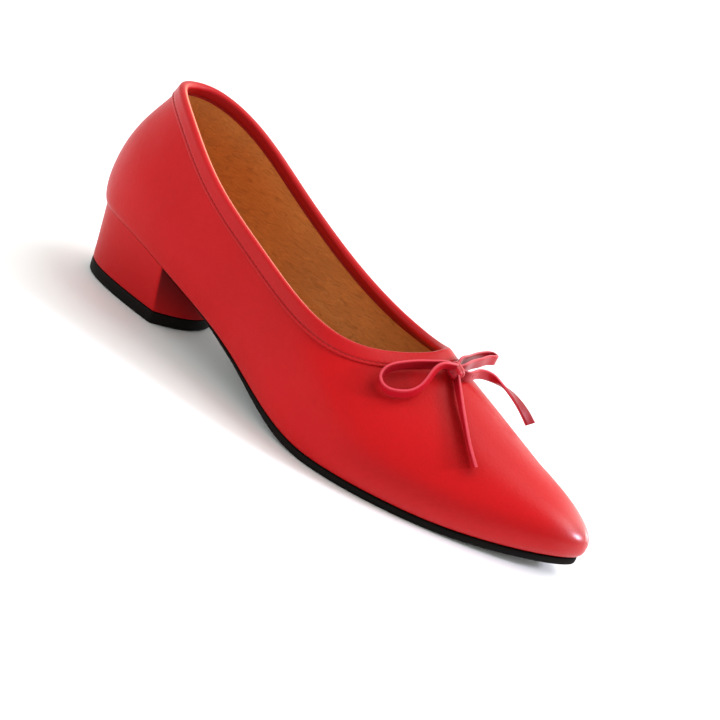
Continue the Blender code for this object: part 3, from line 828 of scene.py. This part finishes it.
class PUMP_OT_stage(bpy.types.Operator):
    """Camera at the photograph's angle, soft light and a pale floor."""
    bl_idname = "pump.stage"
    bl_label = "Stage"

    def execute(self, context):
        stage = context.scene.pump_stage
        az, el, roll = stage.azimuth, stage.elevation, stage.roll
        back = np.array([np.sin(az) * np.cos(el), -np.cos(az) * np.cos(el), np.sin(el)])
        level = np.array([np.cos(az), np.sin(az), 0.0])
        upright = np.cross(back, level)
        right = np.cos(roll) * level + np.sin(roll) * upright
        up = np.cos(roll) * upright - np.sin(roll) * level
        eye = (np.array(CAMERA_TARGET) + SHIFT) * MILLIMETRE + back * stage.distance
        lens = bpy.data.cameras.new("camera")
        lens.lens, lens.sensor_width, lens.clip_start = stage.lens, 36.0, 0.01
        context.scene.camera = linked("camera", lens, (right, up, back, eye))
        context.scene.view_settings.view_transform = "Standard"

        corners = np.array([(-1, -1, 0), (1, -1, 0), (1, 1, 0), (-1, 1, 0)]) * FLOOR_REACH
        mesh = bpy.data.meshes.new("floor")
        mesh.from_pydata(corners.tolist(), [], [(0, 1, 2, 3)])
        mesh.materials.append(pale_floor("floor", tints()["floor"]))
        floor = linked("floor", mesh)

        world = bpy.data.worlds.new("studio")
        world.use_nodes = True
        maker = NodeMaker(world.node_tree)
        way = maker.value("ShaderNodeTexCoord", {}, {}, "Generated")
        slope = maker.value("ShaderNodeVectorMath", {"operation": "DOT_PRODUCT"},
                            {0: way, 1: SKY_WAY}, "Value")
        sky = maker.mixed(maker.steps(slope, -SKY_BLEND, SKY_BLEND), stage.near_sky, stage.far_sky)
        maker.feed(world.node_tree.nodes["Background"].inputs["Color"], sky)
        context.scene.world = world
        for lamp in LAMPS:
            light = bpy.data.lights.new(lamp.name, "SUN")
            light.angle, light.color = np.radians(lamp.spread), lamp.tint
            light.energy = lamp.strength * stage.lamps
            ahead = unit(np.array(lamp.place))
            side = unit(np.cross((0.0, 0.0, 1.0), ahead))
            linked(lamp.name, light, (side, np.cross(ahead, side), ahead, lamp.place))
        return {"FINISHED"}


def tucked(route, both_ends):
    """A route that goes on into the knot at its start, and at its end too where both ends do."""
    def inside(end):
        place = np.array(end[:3]) * (1 - TUCK) + np.array(KNOT_CENTRE) * TUCK
        return Place(*place, end.lean)

    return (inside(route[0]), *route, *([inside(route[-1])] if both_ends else []))


def strip_frame(route, count):
    """Points along a strip's spline with its directions: along, across the width, out of the face."""
    places = np.array([row[:3] for row in route])
    length = run_lengths(places)
    where = np.linspace(0.0, length[-1], count)
    centre = spline(length, places, where)
    lean = np.radians(spline(length, [row.lean for row in route], where))
    along = unit(np.gradient(centre, axis=0))
    width = np.stack([np.zeros_like(lean), -np.sin(lean), np.cos(lean)], -1)
    width = unit(width - along * np.sum(width * along, axis=1, keepdims=True))
    return centre, along, width, np.cross(width, along)


def strip_grid(strip, count):
    """A folded strip: its rimmed profile carried along the route, and a slanting cut at its end.

    The profile is a round rim with a shallow groove between the two layers, one face, the rim
    turned round and the other face. The last CUT_LENGTH is drawn on by cut times the place across
    the width. Dimples are small Gaussian pits in a face. The rims get painted highlights, and
    painted shade darkens the strip towards the knot, in its dimples and on its shaded face.
    """
    both_ends = strip.end == "object"
    centre, along, width, face = strip_frame(tucked(strip.route, both_ends), count)
    bend = np.linspace(-np.pi / 2, np.pi / 2, RIM_POINTS)
    round_edge = np.cos(bend) - 1 - RIM_GROOVE / STRIP_THICKNESS * 2 * bell(bend, 0.25)
    rim = np.column_stack([1 + round_edge * STRIP_THICKNESS / STRIP_WIDTH, np.sin(bend)])
    side = np.array(STRIP_FACE)
    profile = np.vstack([rim, side, -rim, -side])
    face_sign = np.sign(profile[:, 1])
    a = profile[:, 0] * STRIP_WIDTH / 2
    b = np.broadcast_to(profile[:, 1] * STRIP_THICKNESS / 2, (count, len(profile))).copy()
    run = run_lengths(centre)
    # Painted highlights along both rims
    rim_highlight, plain = bell(bend, 0.55), np.zeros(len(side))
    highlight = RIM_HIGHLIGHT * np.concatenate([rim_highlight, plain, rim_highlight, plain])
    # Painted shade by the knot, on the shaded face and in the dimples
    by_knot = np.minimum(run, run[-1] - run) if both_ends else run
    shaded = LOOP_SHADE * (face_sign == strip.shaded) * (np.abs(profile[:, 0]) < 0.9)
    shade = np.maximum(KNOT_SHADE * bell(by_knot, KNOT_SHADE_REACH)[:, None], shaded)
    for place, across, sign in strip.dimples:
        pit = bell(np.hypot(run[:, None] - place, a - across), DIMPLE_SIZE) * (face_sign == sign)
        b -= sign * DIMPLE_DEPTH * pit
        shade = np.maximum(shade, DIMPLE_SHADE * pit)
    slant = strip.cut * smooth_step((run - run[-1] + CUT_LENGTH) / CUT_LENGTH)[:, None] * a
    grid = centre[:, None] + a[:, None] * width[:, None] + b[..., None] * face[:, None]
    grid = grid + slant[..., None] * along[:, None]
    return grid, centre, {"groove": shade, "crest": np.broadcast_to(highlight, b.shape)}


def knot_grid(rows, sides):
    """The knot: a squared ring of leather, drawn in at both ends, with two wrapped folds round it.

    Sections across the shoe are superellipses, whose size falls towards both ends as a root of one
    less a power of the place, and each fold is a groove that runs slanting round.
    """
    def squared(wave):
        return np.sign(wave) * np.abs(wave) ** KNOT_SQUARENESS

    place = np.cos(np.linspace(np.pi, 0.0, rows))
    angle = np.linspace(0, 2 * np.pi, sides, endpoint=False)
    size = (1 - 0.93 * np.abs(place) ** 3.2) ** 0.45
    slant = place[:, None] - 0.28 * np.sin(angle) - 0.12 * np.cos(2 * angle)
    groove = sum(bell(slant - fold, KNOT_FOLD_WIDTH) for fold in KNOT_FOLDS)
    size = size[:, None] * (1 - 0.10 * groove)
    half = np.array(KNOT_SIZE) * KNOT_FULLNESS / 2
    along = half[0] * size * squared(np.cos(angle))
    high = half[2] * size * squared(np.sin(angle))
    slope = np.radians(KNOT_SLOPE)
    x = along * np.cos(slope) + high * np.sin(slope)
    z = high * np.cos(slope) - along * np.sin(slope)
    y = np.broadcast_to(place[:, None] * half[1], x.shape)
    # The folds' grooves get painted shade
    return np.array(KNOT_CENTRE) + np.stack([x, y, z], -1), {"groove": KNOT_FOLD_SHADE * groove}


class PUMP_OT_bow(bpy.types.Operator):
    """The bow: a knot, two loops and two tails of one folded leather strip."""
    bl_idname = "pump.bow"
    bl_label = "Bow"

    def execute(self, context):
        leather = red_leather("bow_leather", tints()["bow"], roughness=0.30, gloss=0.20, grain_depth=0.01,
                              highlight_colour=(0.86, 0.12, 0.17))
        grid, marks = knot_grid(rows=40, sides=64)
        knot = make_piece("bow_knot_leather", grid, False, leather, ("bow_knot",), marks)
        for strip in STRIPS:
            grid, centre, marks = strip_grid(strip, count=150)
            piece = make_piece(strip.node + "_strip", grid, False, leather,
                               (strip.node,), marks)
            path = (centre + SHIFT) * MILLIMETRE
            [knot] if strip.node == "bow_tail_outer" else []
        return {"FINISHED"}


def wall_face(turn, count):
    """The wall's points and the unit vectors out of it, in rows closer together at both edges."""
    u = np.linspace(0.0, 1.0, count) ** 1.2
    rise = np.broadcast_to(u - 0.09 * np.sin(2 * np.pi * u), (len(turn), count))
    return wall(turn, rise), wall_normal(turn, rise)


def bow_shade(points):
    """Depth of the painted shadow under the bow: Gaussian in the distance from its strips."""
    shade = np.zeros(points.shape[:-1])
    for route, beside, depth in BOW_SHADES:
        strip = np.array([place[:3] for place in route])
        strip = np.vstack([strip, (strip[1:] + strip[:-1]) / 2]) + beside
        apart = np.linalg.norm(points[..., None, :] - strip, axis=-1).min(axis=-1)
        shade = np.maximum(shade, depth * bell(apart, BOW_SHADE_REACH))
    return shade


def upper_grid(leather, seam_depth, unevenness):
    """The upper's leather: the wall with its folds outside, and the same wall inside, leather deep.

    Outside, the lowest millimetre turns in, the back seam is a Gaussian groove at turn 0, and soft
    sine waves make the surface uneven. The seam is darker; painted shade darkens the foot, the
    leather under the bow and a band along the forepart; a painted highlight runs along the heel's
    edge; and the toe and the forepart's foot shine.
    """
    turn = ring_turns(300)
    outer, normal = wall_face(turn, count=64)
    x, up = outer[..., 0], run_lengths(outer)
    relief = fold_relief(outer, LEATHER_FOLDS) + unevenness * ripple(outer, RIPPLE_PITCH, seed=3)
    relief *= smooth_step(up / FOLD_FADE_LOW) * smooth_step((up[:, -1:] - up) / FOLD_FADE_TOP)
    relief -= TURN_IN * np.exp(-up / TURN_IN_REACH)
    seam = bell(outer[..., 1], SEAM_WIDTH) * (x < SEAM_END)
    relief -= seam_depth * seam
    back, back_normal = wall_face(turn, count=20)
    inner = back - leather * back_normal
    forepart = smooth_step((x - FOREPART_START) / FOREPART_EASE)
    # Painted shade along the foot by the sole, under the bow and in a band along the forepart
    foot = FOOT_SHADE * np.exp(-up / FOOT_SHADE_REACH) * (x > BREAST)
    groove = np.clip(SEAM_SHADE * seam + foot, 0, 1)
    groove = np.maximum(groove, bow_shade(outer))
    side = bell(up - SIDE_SHADE_HEIGHT, SIDE_SHADE_REACH)
    groove = np.maximum(groove, SIDE_SHADE * forepart * side)
    # A painted highlight along the lowest edge round the back of the heel
    crest = SEAT_HIGHLIGHT * np.exp(-up / SEAT_HIGHLIGHT_REACH) * smooth_step((SEAT_HIGHLIGHT_END - x) / SEAT_HIGHLIGHT_EASE)
    tip = foot_line(np.array([0.5]))[0] + TOE_POLISH_PLACE
    polish = TOE_POLISH * bell(np.linalg.norm(outer - tip, axis=-1), TOE_POLISH_REACH)
    polish = np.maximum(polish, SOLE_POLISH * forepart * bell(up, SOLE_POLISH_REACH))
    unseen = np.zeros(inner.shape[:2])
    grid = np.concatenate([outer + relief[..., None] * normal, inner[:, ::-1]], axis=1)
    marks = {"groove": groove, "crest": crest, "polish": polish}
    return grid, {key: np.concatenate([mark, unseen], axis=1) for key, mark in marks.items()}


class PUMP_OT_upper(bpy.types.Operator):
    """The upper: one hollow piece of leather with a back seam, open at the collar and below."""
    bl_idname = "pump.upper"
    bl_label = "Upper"

    def execute(self, context):
        size = sizes()
        leather = red_leather("upper_leather", tints()["red"], roughness=0.38, gloss=0.10)
        grid, marks = upper_grid(size["leather"], size["seam_depth"], size["unevenness"])
        make_piece("upper_leather", grid, True, leather, ("upper",), marks)
        return {"FINISHED"}


def lining_grid(leather):
    """The lining: the wall moved in by the upper's whole thickness, with wrinkled folds inside."""
    turn = ring_turns(260)
    face, normal = wall_face(turn, count=56)
    up = run_lengths(face)
    relief = fold_relief(face, LINING_FOLDS)
    relief += LINING_UNEVENNESS * ripple(face, LINING_RIPPLE_PITCH, seed=8)
    relief *= smooth_step(up / LINING_FADE_LOW)
    relief *= smooth_step((up[:, -1:] - up - LINING_SMOOTH_TOP) / LINING_FADE_TOP)
    inside = face - (WALL + relief)[..., None] * normal
    back, back_normal = wall_face(turn, count=14)
    outside = back - (leather + LINING_GAP) * back_normal
    # Painted shade at the lining's foot, where it meets the insole
    low = LINING_SHADE * np.exp(-np.clip(up - INSOLE, 0, None) / LINING_SHADE_REACH)
    groove = np.concatenate([low, np.zeros(outside.shape[:2])], axis=1)
    return np.concatenate([inside, outside[:, ::-1]], axis=1), {"groove": groove}


def insole_grid():
    """The insole: rungs across from heel to toe, a rolled edge, and a shallow dish along the middle."""
    share = np.sin(np.linspace(-np.pi / 2, np.pi / 2, 41))
    flat = rungs(spread_turns(0.0, 0.5, 190), INSOLE_INSET, share)
    base = featherline(flat[..., 0])
    edge = np.minimum(np.linalg.norm(flat - flat[:, :1], axis=-1),
                      np.linalg.norm(flat - flat[:, -1:], axis=-1))
    top = flat.copy()
    top[..., 2] = base + INSOLE - INSOLE_ROLL * np.exp(-edge / INSOLE_ROLL_REACH)
    top[..., 2] -= INSOLE_DISH * (1 - share ** 2)
    top[..., 2] += INSOLE_UNEVENNESS * ripple(flat, INSOLE_RIPPLE_PITCH, seed=5)
    low = flat[:, ::-1].copy()
    low[..., 2] = base[:, ::-1]
    # Painted shade along the insole's edge, where it meets the lining
    shade = INSOLE_SHADE * np.exp(-edge / INSOLE_SHADE_REACH)
    groove = np.concatenate([shade, np.zeros(edge.shape)], axis=1)
    return np.concatenate([top, low], axis=1), {"groove": groove}


class PUMP_OT_lining(bpy.types.Operator):
    """The tan lining of the wall and the insole under the foot."""
    bl_idname = "pump.lining"
    bl_label = "Lining and insole"

    def execute(self, context):
        leather = tan_leather("lining_leather", tints()["tan"])
        grid, marks = lining_grid(sizes()["leather"])
        make_piece("quarter_lining", grid, True, leather, (), marks)
        grid, marks = insole_grid()
        make_piece("insole_leather", grid, False, leather, ("insole",), marks)
        return {"FINISHED"}


def even_turns(depth, spacing):
    """Turns at even lengths along the line that lies a depth below the topline, and its length."""
    fine = np.linspace(0.0, 1.0, 3001)
    line = below_topline(fine, np.array([depth]), 0.0)[:, 0]
    run = run_lengths(line)
    count = int(round(run[-1] / spacing))
    return np.interp(np.arange(count) * run[-1] / count, run, fine), run[-1]


def binding_grid(size):
    """The binding: a tape folded over the collar's edge, its profile carried round the topline.

    The legs follow TAPE_OUTER and TAPE_INNER, the fold is half an ellipse over the edge, and small
    cosine swellings sit between the stitches. Painted shade darkens the stitch lines, the lower edge
    and the inner leg, and a painted highlight runs along the near side's fold.
    """
    wide, narrow = size["binding_outside"], size["binding_inside"]
    turn, length = even_turns(wide * STITCH_PLACE, 0.5)
    outer, inner = np.array(TAPE_OUTER), np.array(TAPE_INNER)
    swing = np.linspace(0.0, np.pi, 13)[1:-1]
    fold_depth = FOLD_START - FOLD_RISE * np.sin(swing)
    fold_offset = -WALL / 2 + (WALL / 2 + TAPE_TOP) * np.cos(swing)
    depth = np.concatenate([outer[:, 0] * wide, fold_depth, inner[:, 0] * narrow])
    offset = np.concatenate([outer[:, 1], fold_offset, -WALL - inner[:, 1]])
    outside, inside = offset > 0, offset < -WALL
    from_stitches = depth - wide * STITCH_PLACE
    pitch = length / round(length / size["stitch_pitch"])
    run = np.arange(len(turn)) * length / len(turn)
    wave = np.cos(2 * np.pi * run / pitch)[:, None]
    lift = offset - size["pucker"] * wave * (bell(from_stitches, PUCKER_WIDTH) * outside)
    tape = below_topline(turn, depth, lift)
    back_depth = np.array([narrow, narrow / 2, -GAP, -GAP, wide / 2, wide])
    back = below_topline(turn, back_depth, np.repeat([-WALL - TAPE_BACK, TAPE_BACK], 3))
    grid = np.concatenate([tape, back], axis=1)
    # Painted shade in the stitch grooves, at the tape's lower edge and on its inner leg
    line = bell(from_stitches, LINE_WIDTH) * outside
    edge = bell(depth - wide, TAPE_EDGE_WIDTH) * outside
    inner_line = bell(depth - narrow * STITCH_PLACE, LINE_WIDTH) * inside
    groove = STITCH_SHADE * line + TAPE_EDGE_SHADE * edge + INNER_STITCH_SHADE * inner_line
    groove = groove + INNER_LEG_SHADE * inside * (depth > 0.2)
    groove = np.concatenate([groove, np.zeros(len(back_depth))])
    # A painted highlight along the fold on the near side
    top = tape[:, len(outer)]
    near = smooth_step((6.0 - top[:, 1]) / 6.0) * smooth_step((top[:, 0] - 8.0) / 14.0)
    ridge = WALL * (0.9 - 0.6 * smooth_step((top[:, :1] - 50.0) / 95.0))
    crest = near[:, None] * bell(offset + ridge, 0.45) * (depth < 0.2)
    crest = np.concatenate([crest, np.zeros(back.shape[:2])], axis=1)
    return grid, {"groove": np.broadcast_to(groove, grid.shape[:2]), "crest": crest}


def stitch_grid(size):
    """The stitches: short capsules laid in the tape's groove at even lengths, one grid for each.

    A capsule is a ring of eight points whose radius follows a rounded rise and fall along it.
    """
    depth = size["binding_outside"] * STITCH_PLACE
    turn = even_turns(depth, size["stitch_pitch"])[0]

    def over_tape(turn, height):
        return below_topline(turn, np.array([depth]), height)[:, 0]

    here = over_tape(turn, STITCH_HEIGHT)
    ahead = unit(over_tape(turn + SMALL, STITCH_HEIGHT) - over_tape(turn - SMALL, STITCH_HEIGHT))
    out = unit(over_tape(turn, 1.0) - here)
    side = np.cross(out, ahead)
    share = np.cos(np.linspace(np.pi, 0.0, 7))
    angle = np.linspace(0, 2 * np.pi, 8, endpoint=False)
    radius = size["thread"] / 2 * np.maximum(1 - share ** 6, 0.02)
    arch = 0.10 * (1 - share ** 2) - 0.05
    a = share * size["stitch_length"] / 2
    ring = radius[:, None] * np.cos(angle)
    rise = radius[:, None] * np.sin(angle) + arch[:, None]
    return (here[:, None, None] + a[None, :, None, None] * ahead[:, None, None]
            + ring[None, ..., None] * side[:, None, None] + rise[None, ..., None] * out[:, None, None])


class PUMP_OT_binding(bpy.types.Operator):
    """The collar's folded binding tape and the stitches that hold it."""
    bl_idname = "pump.binding"
    bl_label = "Binding"

    def execute(self, context):
        size = sizes()
        leather = red_leather("binding_leather", tints()["binding"], roughness=0.38, gloss=0.16,
                              highlight_colour=(0.92, 0.30, 0.17))
        grid, marks = binding_grid(size)
        make_piece("collar_binding", grid, True, leather, ("topline_binding",), marks)
        thread = red_thread("binding_thread", tinted(tints()["red"], 0.8))
        capsules = stitch_grid(size)
        index = np.arange(capsules[..., 0].size).reshape(capsules.shape[:3])
        faces = quads_between(index[:, :-1], index[:, 1:])
        faces += np.concatenate([index[:, 0, ::-1], index[:, -1]]).tolist()
        link_piece("collar_stitches", capsules.reshape(-1, 3), faces, thread)
        return {"FINISHED"}


def breast_corners():
    """The two upper corners of the heel breast, outer and inner."""
    turn = np.array([turn_at(BREAST)])
    return inset_line(turn, HEEL_INSET)[0], inset_line(1 - turn, HEEL_INSET)[0]


def breast_curve(y):
    """How far the heel breast stands forward of its corners: a parabola across the shoe."""
    outer, inner = breast_corners()
    place = (2 * y - outer[1] - inner[1]) / (inner[1] - outer[1])
    return BREAST_BULGE * (1 - np.minimum(place ** 2, 1.0))


def sole_grid():
    """The sole: rungs from the heel breast to the toe tip, each a rounded edge, top and bottom.

    Its thickness eases from the waist to the forepart, its back end follows the breast's curve, and
    by the breast its lower edge is drawn in.
    """
    turn = spread_turns(turn_at(BREAST + BREAST_GAP), 0.5, 230)
    fade = np.clip(1 - (foot_line(turn)[:, 0] - BREAST - BREAST_GAP) / BREAST_FADE, 0, 1)
    tuck = ARCH_TUCK * smooth_step(fade * 1.4)[:, None]

    def row(inset, share, places):
        points = rungs(turn, inset + tuck * min(1.0, share * 3), places)
        points[..., 0] += breast_curve(points[..., 1]) * fade[:, None]
        x = points[..., 0]
        ease = smooth_step((x - WAIST_END) / (FOREPART_START - WAIST_END))
        thickness = WAIST_SOLE + (SOLE - WAIST_SOLE) * ease
        points[..., 2] = featherline(x) - GAP - (thickness - GAP) * share
        return points

    across = np.linspace(-1.0, 1.0, 33)
    rows = [row(*SOLE_EDGE[0], across)]
    rows += [row(inset, share, (1.0,)) for inset, share in SOLE_EDGE[1:-1]]
    rows += [row(*SOLE_EDGE[-1], across[::-1])]
    rows += [row(inset, share, (-1.0,)) for inset, share in SOLE_EDGE[-2:0:-1]]
    return np.concatenate(rows, axis=1)


def heel_outline(count, corner):
    """The heel's top edge in plan as one closed line, its breast corners rounded.

    The sides follow the featherline, the breast its parabola; the line is read at even lengths and
    blurred by a Gaussian of the corner's size.
    """
    turn = np.linspace(0.0, turn_at(BREAST), 400)
    outer, inner = inset_line(turn, HEEL_INSET), inset_line(1 - turn, HEEL_INSET)
    first, last = breast_corners()
    share = np.linspace(0.0, 1.0, 200)[1:-1, None]
    breast = first * (1 - share) + last * share
    breast[:, 0] += breast_curve(breast[:, 1])
    line = np.concatenate([outer, breast, inner[::-1]])[:, :2]
    run = run_lengths(line)
    where = np.linspace(0.0, run[-1], count, endpoint=False)
    line = np.stack([np.interp(where, run, line[:, k]) for k in range(2)], -1)
    apart = np.minimum(np.arange(count), count - np.arange(count)) * run[-1] / count
    blur = bell(apart, corner)
    kernel = np.fft.fft(blur / blur.sum())[:, None]
    return np.fft.ifft(np.fft.fft(line, axis=0) * kernel, axis=0).real


def heel_ring(line, level, scale):
    """The heel's outline at a level, from 0 at the seat to 1 at the lift, scaled about its middle."""
    middle = line.mean(axis=0)
    plan = middle + (line - middle) * scale
    seat = np.column_stack([plan, featherline(plan[:, 0]) - GAP])
    foot = np.column_stack([plan[:, 0] * HEEL_TAPER_ALONG + HEEL_FORWARD,
                            plan[:, 1] * HEEL_TAPER_ACROSS, np.full(len(plan), LIFT + GAP)])
    return seat * (1 - level) + foot * level


def heel_grid():
    """The covered heel block: its outline carried from seat to lift, with small rounded rims.

    The cover reaches up under the upper by a hair's breadth. Painted shade darkens its breast towards the
    seat.
    """
    line = heel_outline(count=420, corner=1.1)
    rings = [heel_ring(line, 0.0, scale) for scale in HEEL_CAP]
    levels = np.concatenate([[-0.012, 0.0, 0.016, 0.035], np.linspace(0.07, 0.95, 34), [0.975, 0.992]])
    draw = 1 - 0.008 * np.exp(-(1 - levels) / 0.01)
    rings += [heel_ring(line, level, scale) for level, scale in zip(levels, draw)]
    rings += [heel_ring(line, 1.0, scale) for scale in HEEL_CAP[::-1]]
    grid = np.array(rings)
    height = np.concatenate([np.zeros(len(HEEL_CAP)), levels, np.ones(len(HEEL_CAP))])[:, None]
    # Painted shade on the breast, deepest at the seat
    run = np.roll(line, -1, axis=0) - np.roll(line, 1, axis=0)
    forward = run[:, 1] / np.linalg.norm(run, axis=1)
    breast = smooth_step((np.abs(forward) - 0.35) / 0.2) * (line[:, 0] > BREAST - 3)
    return grid, {"groove": breast * BREAST_SHADE * (1 - np.clip(height, 0, 1)) ** 0.5}


def lift_grid():
    """The heel's top lift: the heel's lower outline carried down to the floor, its edges rounded."""
    line = heel_outline(count=360, corner=0.9)
    rings = []
    for scale, height in LIFT_PROFILE:
        ring = heel_ring(line, 1.0, scale)
        ring[:, 2] = height * LIFT
        rings.append(ring)
    return np.array(rings)


class PUMP_OT_bottom(bpy.types.Operator):
    """The rubber sole, the covered heel block and its rubber top lift."""
    bl_idname = "pump.bottom"
    bl_label = "Sole and heel"

    def execute(self, context):
        rubber = black_rubber("black_rubber_skin", tints()["rubber"])
        make_piece("sole_rubber", sole_grid(), False, rubber, ("outsole",))
        make_piece("heel_lift_rubber", lift_grid(), False, rubber, ("heel_top_lift",))
        leather = red_leather("heel_leather", tints()["red"], roughness=0.40, gloss=0.09,
                              grain_depth=0.07)
        grid, marks = heel_grid()
        make_piece("heel_cover", grid, False, leather, ("heel_block",), marks)
        return {"FINISHED"}


class PUMP_PT_panel(bpy.types.Panel):
    """Lists the pump's pieces and its sizes and colours."""
    bl_idname = "PUMP_PT_panel"
    bl_label = "Ballet Pump"
    bl_space_type = "VIEW_3D"
    bl_region_type = "UI"
    bl_category = "Pump"

    def draw(self, context):
        for operator in OPERATORS:
            self.layout.operator(operator.bl_idname)
        for group in (context.scene.pump_sizes, context.scene.pump_colours, context.scene.pump_stage):
            column = self.layout.column(align=True)
            for key in group.__annotations__:
                column.prop(group, key)


OPERATORS = (PUMP_OT_stage, PUMP_OT_bow, PUMP_OT_upper, PUMP_OT_lining, PUMP_OT_binding, PUMP_OT_bottom)
GROUPS = {"pump_sizes": PumpSizes, "pump_colours": PumpColours, "pump_stage": PumpStage}


def register():
    for kind in (*GROUPS.values(), *OPERATORS, PUMP_PT_panel):
        bpy.utils.register_class(kind)
    for name, group in GROUPS.items():
        setattr(bpy.types.Scene, name, bpy.props.PointerProperty(type=group))


def unregister():
    for name in GROUPS:
        delattr(bpy.types.Scene, name)
    for kind in (PUMP_PT_panel, *reversed(OPERATORS), *reversed(tuple(GROUPS.values()))):
        bpy.utils.unregister_class(kind)


def main():
    register()
    bpy.ops.pump.stage()
    bpy.ops.pump.bow()
    bpy.ops.pump.upper()
    bpy.ops.pump.lining()
    bpy.ops.pump.binding()
    bpy.ops.pump.bottom()


if __name__ == "__main__":
    main()
